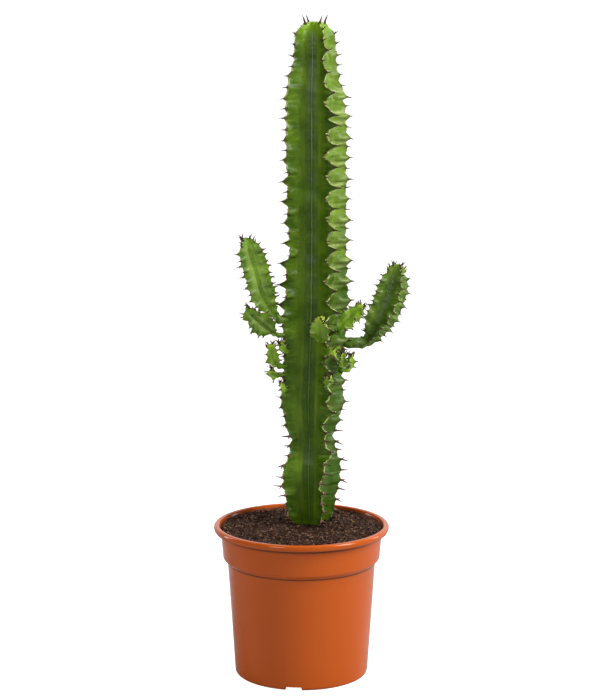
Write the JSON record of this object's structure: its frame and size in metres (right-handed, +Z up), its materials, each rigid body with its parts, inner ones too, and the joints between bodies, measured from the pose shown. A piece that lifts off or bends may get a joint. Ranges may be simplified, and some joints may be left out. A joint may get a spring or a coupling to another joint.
{
  "type": "potted candelabra euphorbia",
  "caption": "Tall candelabra euphorbia with wavy spined ribs, side arms and young shoots, standing in soil in a glossy orange plastic pot.",
  "frame": {"origin": "centre of the pot's underside, on the surface that it stands on", "axes": "+Z up along the pot's axis; the front of the plant faces -Y, with its right arm towards +X"},
  "size_m": [0.2183, 0.19, 0.7118],
  "materials": {
    "pot": "glossy injection-moulded orange plastic",
    "soil": "loose dark brown peat with bark and fibres",
    "trunk": "waxy mid-green succulent skin with pale channels and brown horny margins",
    "arms": "waxy green succulent skin with brown horny margins",
    "shoots": "bright green young succulent skin"
  },
  "bodies": {
    "root": {"pot": "pot", "soil": "soil", "trunk": "trunk", "arm_left": "arms", "arm_right": "arms", "shoot_left_lobe": "shoots", "bud_left_upper": "shoots", "shoot_left_blade": "shoots", "shoot_left_low": "shoots", "bud_left_low": "shoots", "shoot_front": "shoots", "shoot_front_crown": "shoots", "shoot_front_right": "shoots", "shoot_right_back": "shoots", "bud_right_pale": "shoots", "shoot_right_low": "shoots", "bud_front_low": "shoots"}
  },
  "joints": []
}
